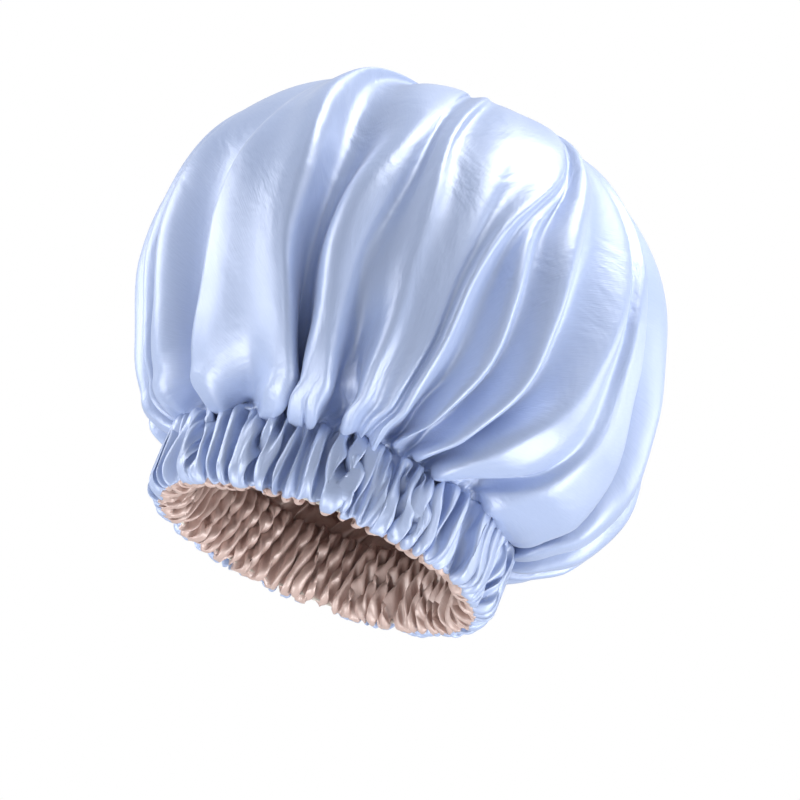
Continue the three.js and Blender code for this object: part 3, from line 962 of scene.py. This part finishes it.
@dataclass
class Channel:
    """The two walls of the elastic's channel, joined at the rim: one strip from the outer cloth's channel
    seam down to the rim and up inside to the lining's seam. Metres, with counts for its grid. Places across
    the strip are shares of a wall: -1 at the outer seam, 0 at the rim and 1 at the lining's seam."""

    profile: tuple[Span, ...]
    outer_pleats: Pleats
    lining_pleats: Pleats
    outer_depth: float = 0.0042
    rim_depth: float = 0.0020
    lining_depth: float = 0.0044
    outside_elastic: float = 0.0746
    inside_elastic: float = 0.0707
    outer_reach: float = 0.0822
    lining_reach: float = 0.0622
    seam_gap: float = 0.0010
    lowest: float = 0.0004
    rim_heights: Span = (0.0015, 0.0050)
    seam_heights: Span = (0.0320, 0.0345)
    wall_rows: int = 15
    finer_wall_rows: int = 29
    coarse_steps: int = 90
    fine_steps: int = 20
    last_steps: int = 5
    stiffness: Span = (0.08, 0.2)
    fine_stiffness: Span = (0.05, 0.35)
    push_share: float = 0.5
    outer_growth_share: float = 0.42
    rim_growth_share: float = 0.12
    lining_growth_share: float = 0.06
    fine_growth_share: float = 0.05
    growth_ripples: tuple[Ripple, ...] = (Ripple(3, 0.35, 1), Ripple(7, 0.3), Ripple(13, 0.25, 2))
    growth_place_shares: tuple[float, ...] = (-1, -0.8, -0.2, 0, 0.2, 0.8, 1)
    depth_place_shares: tuple[float, ...] = (-1, -0.8, -0.2, 0, 0.2, 0.7, 1)
    depth_shares: tuple[float, ...] = (0.5, 1, 1, 0, 1, 1, 0.3)
    turn_in_shares: Span = (-0.1, 0.25)
    scallop: float = 0.0035
    scallop_power: int = 3
    scallop_mean_share: float = 0.35
    scallop_swing_share: float = 0.4
    scallop_ripples: tuple[Ripple, ...] = (
        Ripple(21, swing=1, swing_count=5),
        Ripple(34, 0.8, swing=1.4, swing_count=9),
    )

    def settle(self, outer_seam: np.ndarray, lining_seam: np.ndarray) -> tuple[np.ndarray, np.ndarray]:
        """Settles the strip between its seams, on a coarse grid and then on one twice as fine.

        Args:
            outer_seam: The outer cloth's points at the channel seam.
            lining_seam: The lining's points at the channel seam.

        Returns:
            The outer wall's grid and the lining wall's, each from the channel seam down to the rim.
        """
        rows = 2 * self.wall_rows - 1
        v = np.linspace(-1, 1, rows)
        points = self.grid(v, outer_seam, lining_seam)
        growth = np.interp(v, self.growth_place_shares, self.growths())[:, None]
        growth = growth * ripples(self.growth_ripples, bearings(len(outer_seam)), 1.0)
        points = settled(points, growth, 1.0, self.stiffness, self.clear_of_elastic, self.coarse_steps)
        places = np.linspace(0, rows - 1, 2 * self.finer_wall_rows - 1)
        points = finer_columns(finer_rows(points, places), 2)
        growth = np.full(points.shape[:2], self.fine_growth_share)
        points = settled(points, growth, 1.0, self.fine_stiffness, self.clear_of_elastic, self.fine_steps)
        for _ in range(self.last_steps):
            points = self.clear_of_elastic(points)
        rim = self.finer_wall_rows - 1
        return points[: rim + 1], points[rim:][::-1]

    def growths(self) -> tuple[float, ...]:
        """By what share the cloth is longer than it is laid out, at growth_place_shares."""
        outer, lining = self.outer_growth_share, self.lining_growth_share
        return (0, outer, outer, self.rim_growth_share, lining, lining, 0)

    def clear_of_elastic(self, points: np.ndarray) -> np.ndarray:
        """Moves both walls' ruffles part of the way to between the elastic and their own reach, and lifts
        them to the rim's plane.

        Args:
            points: The strip.

        Returns:
            The moved strip, with its first and last rows as they were.
        """
        rim = len(points) // 2
        radius = np.hypot(points[..., 0], points[..., 1])
        kept = radius.copy()
        above_rim = smoothstep(points[..., 2], *self.rim_heights)
        below_seam = 1 - smoothstep(points[..., 2], *self.seam_heights)
        wall = self.outside_elastic - self.inside_elastic
        near = self.inside_elastic + above_rim * wall
        far = self.outside_elastic - above_rim * (self.seam_gap + below_seam * (wall - self.seam_gap))
        kept[:rim] = np.clip(radius[:rim], near[:rim], self.outer_reach)
        kept[rim + 1 :] = np.clip(radius[rim + 1 :], self.lining_reach, far[rim + 1 :])
        moved = points * (1 + self.push_share * (kept / radius - 1))[..., None] ** (1, 1, 0)
        moved[..., 2] = np.maximum(points[..., 2], self.lowest)
        moved[[0, -1]] = points[[0, -1]]
        return moved

    def grid(self, v: np.ndarray, outer_seam: np.ndarray, lining_seam: np.ndarray) -> np.ndarray:
        """The strip as it is laid out: pleats that stand on its profile, square to it, and a rim that rises
        and falls in scallops.

        Args:
            v: The rows' places across the strip.
            outer_seam: The outer cloth's seam points.
            lining_seam: The lining's seam points.

        Returns:
            Points, shape (rows, columns, 3).
        """
        cloth = bearings(len(outer_seam))
        line = np.array(self.profile) * MM
        steps = np.linspace(-1, 1, len(line))
        radius, height = (np.interp(v, steps, values) for values in line.T)
        along = np.gradient(radius), np.gradient(height)
        size = np.hypot(*along) + EPSILON
        out_r, out_z = -along[1] / size, along[0] / size
        outer = self.outer_pleats.wave(cloth, np.clip(v + 1, 0, 1))
        lining = self.lining_pleats.wave(cloth, np.clip(1 - v, 0, 1))
        inside = smoothstep(v, *self.turn_in_shares)[:, None]
        wave = outer * (1 - inside) + lining * inside
        depth = np.interp(v, self.depth_place_shares, self.depth_shares)
        whole = np.where(v < 0, self.outer_depth, self.lining_depth)
        depth = self.rim_depth + depth * (whole - self.rim_depth)
        raised = self.scallop_mean_share + self.scallop_swing_share * ripples(self.scallop_ripples, cloth)
        hang = self.scallop * (1 - np.abs(v[:, None])) ** self.scallop_power * np.clip(raised, 0, 1)
        points = around(
            cloth,
            radius[:, None] + (depth * out_r)[:, None] * wave,
            height[:, None] + (depth * out_z)[:, None] * wave + hang,
        )
        points[0] = outer_seam
        points[-1] = lining_seam
        return points


# The channel's profile from the outer seam by the rim to the lining's seam: radius and height in millimetres.
CHANNEL = Channel(
    profile=(
        (76, 36), (76.6, 34.2), (77.8, 31), (78.2, 24), (77.8, 16), (77.4, 9), (76.8, 3), (73.8, 1.4),
        (70.4, 3.4), (67.8, 9), (67.2, 16), (67.3, 24), (68.2, 31), (70.6, 34.6), (74.3, 36),
    ),
    outer_pleats=OUTER_PLEATS,
    lining_pleats=LINING_PLEATS,
)


# From grids to pieces


class Facing(Enum):
    """Which way a face looks."""

    OUT = "away from the axis"
    IN = "towards the axis"


def ring_faces(rows: int, columns: int, facing: Facing) -> np.ndarray:
    """The quads of a grid whose columns run round and meet.

    Args:
        rows: How many rows.
        columns: How many columns.
        facing: Which way the faces look.

    Returns:
        Vertex numbers, shape (faces, 4).
    """
    row = np.arange(rows - 1)[:, None] * columns
    here = np.arange(columns)[None, :]
    a, b = row + here, row + (here + 1) % columns
    c, d = b + columns, a + columns
    order = (a, d, c, b) if facing is Facing.OUT else (a, b, c, d)
    return np.stack([np.broadcast_to(x, a.shape) for x in order], axis=-1).reshape(-1, 4)


def new_piece(name: str, points: np.ndarray, polygons: list[list[int]]) -> bpy.types.Object:
    """Makes an object with smooth shading from points and polygons.

    Args:
        name: Its name and its mesh's.
        points: Points, shape (points, 3).
        polygons: Lists of point numbers.

    Returns:
        The object, in the scene.
    """
    mesh = bpy.data.meshes.new(name)
    mesh.from_pydata(points.tolist(), [], polygons)
    mesh.polygons.foreach_set("use_smooth", np.ones(len(polygons), dtype=bool))
    mesh.update()
    piece = bpy.data.objects.new(name, mesh)
    bpy.context.scene.collection.objects.link(piece)
    return piece


@dataclass
class Sheet:
    """Cloth made from a grid, with the flat cut's coordinates as its UV map."""

    name: str
    points: np.ndarray
    cut: Cut
    facing: Facing
    thickness: float = 0.0003

    def build(self) -> bpy.types.Object:
        """Makes the mesh: quads round the grid, and for a dome one point and a fan of triangles at the top.

        Returns:
            The piece.
        """
        rows, columns, _ = self.points.shape
        points = self.points.reshape(-1, 3)
        flat = self.cut.flat(rows, columns).reshape(-1, 2)
        faces = ring_faces(rows, columns, self.facing)
        polygons = faces.tolist()
        if self.cut.inside == 0:
            points = np.vstack([points[columns:], points[:columns].mean(axis=0)])
            flat = np.vstack([flat[columns:], np.zeros((1, 2))])
            here = np.arange(columns)
            there = (here + 1) % columns
            top = np.full(columns, len(points) - 1)
            fan = (top, here, there) if self.facing is Facing.OUT else (top, there, here)
            polygons = (faces[columns:] - columns).tolist() + np.stack(fan, axis=-1).tolist()
        piece = new_piece(self.name, points, polygons)
        mesh = piece.data
        corner_points = np.empty(len(mesh.loops), dtype=np.int32)
        mesh.loops.foreach_get("vertex_index", corner_points)
        uv = mesh.uv_layers.new(name="flat_cut")
        uv.uv.foreach_set("vector", flat[corner_points].astype(np.float32).ravel())
        wall = piece.modifiers.new("cloth", "SOLIDIFY")
        wall.thickness = self.thickness
        wall.offset = -1
        return piece


@dataclass
class Stitches:
    """A line of lockstitches along a seam, each a short thread that rises a little off the cloth. Metres."""

    name: str
    path: np.ndarray
    pitch: float = 0.0026
    cover_share: float = 0.8
    thread_radius: float = 0.0001
    rise: float = 0.0001
    rings: int = 5
    sides: int = 6

    def centres(self) -> np.ndarray:
        """The middles of each stitch's cross sections, evenly spaced along the path, the inner ones lifted by
        the rise times the sine of their place on the stitch.

        Returns:
            Points, shape (stitches, rings, 3).
        """
        closed = np.vstack([self.path, self.path[:1]])
        travelled = np.concatenate([[0], np.cumsum(np.linalg.norm(np.diff(closed, axis=0), axis=1))])
        count = int(travelled[-1] / self.pitch)
        along = np.linspace(0, 1, self.rings)
        places = (np.arange(count)[:, None] + self.cover_share * along) * travelled[-1] / count
        points = np.stack([np.interp(places, travelled, closed[:, axis]) for axis in range(3)], axis=-1)
        return points + self.rise * np.sin(math.pi * along)[:, None] * outward_of(points)

    def build(self) -> bpy.types.Object:
        """Makes the stitches: round each centre a ring of points square to the thread.

        Returns:
            The piece.
        """
        centres = self.centres()
        ahead = np.gradient(centres, axis=1)
        ahead /= np.linalg.norm(ahead, axis=-1, keepdims=True)
        side = np.cross(ahead, (0.0, 0.0, 1.0))
        side /= np.linalg.norm(side, axis=-1, keepdims=True)
        up = np.cross(side, ahead)
        turn = bearings(self.sides)
        ring = np.cos(turn)[:, None] * side[..., None, :] + np.sin(turn)[:, None] * up[..., None, :]
        points = (centres[..., None, :] + self.thread_radius * ring).reshape(-1, 3)
        tube = ring_faces(self.rings, self.sides, Facing.OUT)
        size = self.rings * self.sides
        starts = size * np.arange(len(centres))
        faces = (starts[:, None, None] + tube).reshape(-1, 4)
        corners = np.arange(self.sides)
        ends = (starts[:, None] + corners[::-1], starts[:, None] + size - self.sides + corners)
        caps = np.stack(ends, axis=1).reshape(-1, self.sides)
        return new_piece(self.name, points, faces.tolist() + caps.tolist())


# Finishes


def srgb(code: str) -> tuple[float, float, float, float]:
    """Turns an sRGB hex value to linear: c / 12.92 when dark, else ((c + 0.055) / 1.055) to the power 2.4.

    Args:
        code: Six hex digits after a hash.

    Returns:
        Linear red, green, blue and an alpha of 1.
    """
    parts = [int(code[i : i + 2], 16) / 255 for i in (1, 3, 5)]
    linear = [c / 12.92 if c <= 0.04045 else ((c + 0.055) / 1.055) ** 2.4 for c in parts]
    return (*linear, 1.0)


def add_node(
    owner: bpy.types.ID, kind: str, settings: dict | None = None, links: dict | None = None
) -> bpy.types.Node:
    """Adds one node to a material's or world's tree.

    Args:
        owner: The material or world.
        kind: The node's type name.
        settings: Values by socket name or number, or by property name.
        links: Output sockets by the name or number of the input that they feed.

    Returns:
        The node.
    """
    node = owner.node_tree.nodes.new(kind)
    for key, value in (settings or {}).items():
        if isinstance(key, int) or key in node.inputs:
            node.inputs[key].default_value = value
        else:
            setattr(node, key, value)
    for key, socket in (links or {}).items():
        owner.node_tree.links.new(socket, node.inputs[key])
    return node


def new_material(name: str) -> bpy.types.Material:
    """Makes a material with an empty node tree.

    Args:
        name: Its name.

    Returns:
        The material.
    """
    made = bpy.data.materials.new(name)
    made.use_nodes = True
    made.node_tree.nodes.clear()
    return made


class Mixed(Enum):
    """What a mix node mixes: the node's word for it, and the number of the first of its two inputs, whose
    names are alike."""

    NUMBERS = ("FLOAT", 2)
    COLOURS = ("RGBA", 6)


def add_mix(
    owner: bpy.types.ID, mixed: Mixed, first: object, second: object, share: bpy.types.NodeSocket
) -> bpy.types.Node:
    """Adds a node that mixes two values.

    Args:
        owner: The material or world.
        mixed: What the values are.
        first: The value where the share is 0.
        second: The value where it is 1.
        share: The output socket that gives the share.

    Returns:
        The node.
    """
    word, number = mixed.value
    values = {"data_type": word, number: first, number + 1: second}
    return add_node(owner, "ShaderNodeMix", values, {0: share})


# Its long warp floats lie side by side, so its gloss is silky and runs one way. Real floats are too fine to
# show, so they are drawn as coarse as they need to be.
@dataclass(frozen=True)
class Satin:
    """Woven polyester satin, dyed. Metres."""

    name: str
    colour: str
    shade: str
    roughness: float = 0.42
    anisotropy: float = 0.5
    metallic: float = 0.10
    ior: float = 2.1
    specular: float = 0.5
    sheen: float = 0.20
    float_length: float = 0.0045
    float_width: float = 0.0006
    float_relief: float = 0.0003
    wrinkle: float = 0.020
    wrinkle_relief: float = 0.0020

    def material(self) -> bpy.types.Material:
        """Builds the shader: two near tones of one dye, mixed by the weave, with the weave's fine bump and
        the small soft creases of cloth that has been packed flat.

        Returns:
            The material.
        """
        made = new_material(self.name)
        flat = add_node(made, "ShaderNodeUVMap", {"uv_map": "flat_cut"})
        drawn_out = add_node(
            made,
            "ShaderNodeMapping",
            {"Scale": (1 / self.float_length, 1 / self.float_width, 1.0)},
            {"Vector": flat.outputs[0]},
        )
        floats = add_node(
            made,
            "ShaderNodeTexNoise",
            {"Scale": 1.0, "Detail": 2.0, "Roughness": 0.5},
            {"Vector": drawn_out.outputs[0]},
        )
        creases = add_node(
            made,
            "ShaderNodeTexNoise",
            {"Scale": 1 / self.wrinkle, "Detail": 3.0, "Roughness": 0.55, "Distortion": 0.6},
            {"Vector": flat.outputs[0]},
        )
        tone = add_mix(made, Mixed.COLOURS, srgb(self.shade), srgb(self.colour), floats.outputs[0])
        weave = add_node(
            made,
            "ShaderNodeBump",
            {"Strength": 0.22, "Distance": self.float_relief},
            {"Height": floats.outputs[0]},
        )
        relief = add_node(
            made,
            "ShaderNodeBump",
            {"Strength": 0.45, "Distance": self.wrinkle_relief},
            {"Height": creases.outputs[0], "Normal": weave.outputs[0]},
        )
        along = add_node(made, "ShaderNodeTangent", {"direction_type": "UV_MAP", "uv_map": "flat_cut"})
        shader = add_node(
            made,
            "ShaderNodeBsdfPrincipled",
            {
                "Roughness": self.roughness,
                "Metallic": self.metallic,
                "IOR": self.ior,
                "Specular IOR Level": self.specular,
                "Anisotropic": self.anisotropy,
                "Sheen Weight": self.sheen,
                "Sheen Roughness": 0.4,
            },
            {"Base Color": tone.outputs[2], "Normal": relief.outputs[0], "Tangent": along.outputs[0]},
        )
        add_node(made, "ShaderNodeOutputMaterial", links={"Surface": shader.outputs[0]})
        return made


# A wave texture has one band every 0.3 of its scale's unit, near enough.
BAND_SHARE = 0.3


# Its spun fibres make it matt, and its twist gives it slanting ridges.
@dataclass(frozen=True)
class Thread:
    """Spun polyester sewing thread. Metres."""

    name: str
    colour: str
    roughness: float = 0.7
    ridges: float = 0.0004
    ridge_relief: float = 0.0001

    def material(self) -> bpy.types.Material:
        """Builds the shader: one dye and a fine bump of slanting bands.

        Returns:
            The material.
        """
        made = new_material(self.name)
        place = add_node(made, "ShaderNodeTexCoord")
        bands = add_node(
            made,
            "ShaderNodeTexWave",
            {"bands_direction": "DIAGONAL", "Scale": BAND_SHARE / self.ridges, "Distortion": 0.5},
            {"Vector": place.outputs["Object"]},
        )
        twist = add_node(
            made,
            "ShaderNodeBump",
            {"Strength": 0.5, "Distance": self.ridge_relief},
            {"Height": bands.outputs["Fac"]},
        )
        shader = add_node(
            made,
            "ShaderNodeBsdfPrincipled",
            {"Base Color": srgb(self.colour), "Roughness": self.roughness, "Sheen Weight": 0.3},
            {"Normal": twist.outputs[0]},
        )
        add_node(made, "ShaderNodeOutputMaterial", links={"Surface": shader.outputs[0]})
        return made


# Its cotton cover makes it matt, and its rubber draws the knit into ribs that run round the band.
@dataclass(frozen=True)
class KnittedElastic:
    """White knitted elastic tape of cotton and rubber. Metres."""

    name: str = "white_knitted_elastic"
    colour: str = "#F2F0EA"
    shade: str = "#DAD7CE"
    rib: float = 0.0016
    loop: float = 0.0009
    relief: float = 0.0003

    def material(self) -> bpy.types.Material:
        """Builds the shader: level bands for the ribs, broken up by the knit's loops.

        Returns:
            The material.
        """
        made = new_material(self.name)
        place = add_node(made, "ShaderNodeTexCoord")
        ribs = add_node(
            made,
            "ShaderNodeTexWave",
            {"bands_direction": "Z", "Scale": BAND_SHARE / self.rib, "Distortion": 0.3},
            {"Vector": place.outputs["Object"]},
        )
        loops = add_node(
            made,
            "ShaderNodeTexNoise",
            {"Scale": 1 / self.loop, "Detail": 1.0},
            {"Vector": place.outputs["Object"]},
        )
        both = {0: ribs.outputs["Fac"], 1: loops.outputs[0]}
        knit = add_node(made, "ShaderNodeMath", {"operation": "MULTIPLY"}, both)
        tone = add_mix(made, Mixed.COLOURS, srgb(self.shade), srgb(self.colour), knit.outputs[0])
        relief = add_node(
            made, "ShaderNodeBump", {"Strength": 0.6, "Distance": self.relief}, {"Height": knit.outputs[0]}
        )
        shader = add_node(
            made,
            "ShaderNodeBsdfPrincipled",
            {"Roughness": 0.85, "Sheen Weight": 0.2},
            {"Base Color": tone.outputs[2], "Normal": relief.outputs[0]},
        )
        add_node(made, "ShaderNodeOutputMaterial", links={"Surface": shader.outputs[0]})
        return made


@dataclass(frozen=True)
class Layer:
    """One of the two layers: its satin and its thread, with the record's slots for them, and its face."""

    satin: Satin
    satin_slot: str
    thread: Thread
    thread_slot: str
    facing: Facing


OUTER = Layer(
    Satin("light_blue_polyester_satin", "#A9B9DC", "#9CAED4"),
    "outer_satin",
    Thread("light_blue_spun_polyester_thread", "#9FB4DE"),
    "outer_thread",
    Facing.OUT,
)
LINING = Layer(
    Satin("champagne_polyester_satin", "#CBB1A9", "#BEA39B"),
    "lining_satin",
    Thread("champagne_spun_polyester_thread", "#CBB09E"),
    "lining_thread",
    Facing.IN,
)


# The bonnet


@dataclass
class Bonnet:
    """The whole bonnet: it builds each piece, dresses it and ties it to the frame. Metres."""

    envelope: Envelope
    stitch_inset: float = 0.0001
    edge_stitch_lift: float = 0.0006

    def build(self) -> None:
        """Builds the pieces in order, from the outside in."""
        crown = OuterCloth(self.envelope, OUTER_PLEATS).crown()
        dome = LiningCloth(self.envelope, LINING_PLEATS).crown(crown)
        seam = even_ring(crown[-1], dome.shape[1], 0)
        casing, lining_casing = CHANNEL.settle(seam, dome[-1])
        crown = self.envelope.leaning(crown)
        dome = self.envelope.leaning(dome)
        self.sheet("satin_crown", "outer_crown", crown, CROWN_CUT, OUTER)
        self.sheet("satin_casing", "outer_casing", casing, CASING_CUT, OUTER)
        self.sheet("lining_dome", "lining_crown", dome, CROWN_CUT, LINING)
        self.sheet("lining_ruffles", "lining_casing", lining_casing, CASING_CUT, LINING)
        needle, bobbin = (
            wall[0] - self.stitch_inset * outward_of(wall[0]) for wall in (casing, lining_casing)
        )
        edge = casing[-1] + np.array([0, 0, self.edge_stitch_lift])
        self.stitches("needle_stitches", "channel_needle_thread", needle, OUTER)
        self.stitches("bobbin_stitches", "channel_bobbin_thread", bobbin, LINING)
        self.stitches("edge_stitches", "edge_seam_thread", edge, LINING)
        self.kept("elastic_band", KnittedElastic())
        self.kept("elastic_join_stitching", LINING.thread)

    def material(self, finish: Satin | Thread | KnittedElastic) -> bpy.types.Material:
        """A finish's material, made the first time that it is asked for."""
        return bpy.data.materials.get(finish.name) or finish.material()

    def dress(self, piece: bpy.types.Object, finish: Satin | Thread, node: str) -> None:
        """Gives a new piece its material, ties it to the frame, hides the CAD node that it stands for and
        logs its faces.

        Args:
            piece: The piece.
            finish: Its finish.
            node: The CAD node that it replaces.
        """
        piece.data.materials.append(self.material(finish))
        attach(piece, "root")
        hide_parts(node)
        log.info("%s: %d faces", piece.name, len(piece.data.polygons))

    def sheet(self, name: str, node: str, points: np.ndarray, cut: Cut, layer: Layer) -> None:
        """Makes a sheet of satin from its flat cut and dresses it.

        Args:
            name: Its name.
            node: The CAD node that it replaces.
            points: Its grid.
            cut: Its flat cut.
            layer: The layer that it belongs to.
        """
        piece = Sheet(name, points, cut, layer.facing).build()
        self.dress(piece, layer.satin, node)
        cut.size()

    def stitches(self, name: str, node: str, path: np.ndarray, layer: Layer) -> None:
        """Makes a line of stitches in place of a plain ring of thread, and dresses it.

        Args:
            name: Its name.
            node: The CAD node that it replaces.
            path: The points that it runs through.
            layer: The layer whose thread it is.
        """
        self.dress(Stitches(name, path).build(), layer.thread, node)

    def kept(self, node: str, finish: Thread | KnittedElastic) -> None:
        """Gives a piece that is kept from the frame its material.

        Args:
            node: The CAD node.
            finish: Its finish.
        """
        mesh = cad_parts[node].data
        mesh.materials.clear()
        mesh.materials.append(self.material(finish))
        log.info("%s: %s", node, finish.name)


# The stage


@dataclass(frozen=True)
class View:
    """The photograph's camera: below the rim's plane, with the crown leaning to the right. Metres and
    degrees, and the sensor in millimetres."""

    below: float = 19.1
    lean: float = 21.8
    distance: float = 1.5
    width: float = 0.360
    sensor: float = 36.0
    target: tuple[float, float, float] = (0.008, 0.0, 0.085)

    def axes(self) -> tuple[Vector, Vector, Vector]:
        """The camera's directions.

        Returns:
            Right, up and backward, as unit vectors.
        """
        tilt, roll = math.radians(self.below), math.radians(self.lean)
        back = Vector((0, -math.cos(tilt), -math.sin(tilt)))
        level = Vector((1, 0, 0))
        upright = back.cross(level)
        right = math.cos(roll) * level + math.sin(roll) * upright
        up = -math.sin(roll) * level + math.cos(roll) * upright
        return right, up, back

    def place(self, right: float, up: float, back: float) -> Vector:
        """The point that lies so far right, up and back from the target, as the camera sees it."""
        x, y, z = self.axes()
        return Vector(self.target) + right * x + up * y + back * z

    def build(self) -> None:
        """Makes the camera."""
        data = bpy.data.cameras.new("camera")
        data.sensor_width = self.sensor
        data.lens = self.sensor * self.distance / self.width
        camera = bpy.data.objects.new("camera", data)
        bpy.context.scene.collection.objects.link(camera)
        turned = Matrix(self.axes()).transposed().to_4x4()
        camera.matrix_world = Matrix.Translation(self.place(0, 0, self.distance)) @ turned
        bpy.context.scene.camera = camera


@dataclass(frozen=True)
class Softbox:
    """A square lamp that faces the bonnet: its place is right, up and back from the camera's target, in
    metres, and its power in watts."""

    name: str
    place: tuple[float, float, float]
    power: float
    size: float = 0.8

    def build(self, view: View) -> None:
        """Makes the lamp.

        Args:
            view: The camera.
        """
        data = bpy.data.lights.new(self.name, "AREA")
        data.size = self.size
        data.energy = self.power
        lamp = bpy.data.objects.new(self.name, data)
        bpy.context.scene.collection.objects.link(lamp)
        lamp.location = view.place(*self.place)
        away = lamp.location - Vector(view.target)
        lamp.rotation_euler = away.to_track_quat("Z", "Y").to_euler()


@dataclass
class Studio:
    """Soft lamps, a pale floor far below and a white surround. Metres."""

    view: View
    lamps: tuple[Softbox, ...] = (
        Softbox("key_softbox", (0.7, 1.15, 0.0), 20),
        Softbox("right_softbox", (1.3, -0.1, 0.0), 7),
        Softbox("left_softbox", (-1.2, 0.5, -0.1), 11),
        Softbox("low_left_softbox", (-0.9, -0.8, 0.7), 12),
        Softbox("low_right_softbox", (0.9, -0.9, 0.6), 14),
    )
    surround: float = 0.42
    floor_drop: float = 2.4
    floor_half: float = 9.0
    floor_glow: float = 0.5
    floor_colour: str = "#F4F4F4"

    def build(self) -> None:
        """Builds the floor, the world and the lamps."""
        self.floor()
        self.world()
        for lamp in self.lamps:
            lamp.build(self.view)

    def world(self) -> None:
        """White to the camera and through clear things, and a dimmer white for all that lights the bonnet and
        shines in its gloss, which full white would flood."""
        world = bpy.data.worlds.new("surround")
        bpy.context.scene.world = world
        world.use_nodes = True
        world.node_tree.nodes.clear()
        path = add_node(world, "ShaderNodeLightPath")
        rays = {0: path.outputs["Is Camera Ray"], 1: path.outputs["Is Transmission Ray"]}
        seen = add_node(world, "ShaderNodeMath", {"operation": "MAXIMUM"}, rays)
        strength = add_mix(world, Mixed.NUMBERS, self.surround, 1.0, seen.outputs[0])
        ground = add_node(
            world, "ShaderNodeBackground", {"Color": (1, 1, 1, 1)}, {"Strength": strength.outputs[0]}
        )
        add_node(world, "ShaderNodeOutputWorld", links={"Surface": ground.outputs[0]})

    def floor(self) -> None:
        """A wide pale floor, so far below that it comes in front of no view. It glows to the camera alone."""
        half = self.floor_half
        square = [(-half, -half), (half, -half), (half, half), (-half, half)]
        corners = np.array([(x, y, -self.floor_drop) for x, y in square])
        floor = new_piece("floor", corners, [[0, 1, 2, 3]])
        paint = new_material("matt_white_paint")
        path = add_node(paint, "ShaderNodeLightPath")
        halved = {"operation": "MULTIPLY", 1: self.floor_glow}
        glow = add_node(paint, "ShaderNodeMath", halved, {0: path.outputs["Is Camera Ray"]})
        shader = add_node(
            paint,
            "ShaderNodeBsdfPrincipled",
            {"Base Color": srgb(self.floor_colour), "Roughness": 0.9, "Emission Color": (1, 1, 1, 1)},
            {"Emission Strength": glow.outputs[0]},
        )
        add_node(paint, "ShaderNodeOutputMaterial", links={"Surface": shader.outputs[0]})
        floor.data.materials.append(paint)


def main() -> None:
    """Builds the view, the bonnet and the studio."""
    view = View()
    view.build()
    Bonnet(Envelope()).build()
    Studio(view).build()
    bpy.context.scene.view_settings.view_transform = "Standard"


if __name__ == "__main__":
    main()
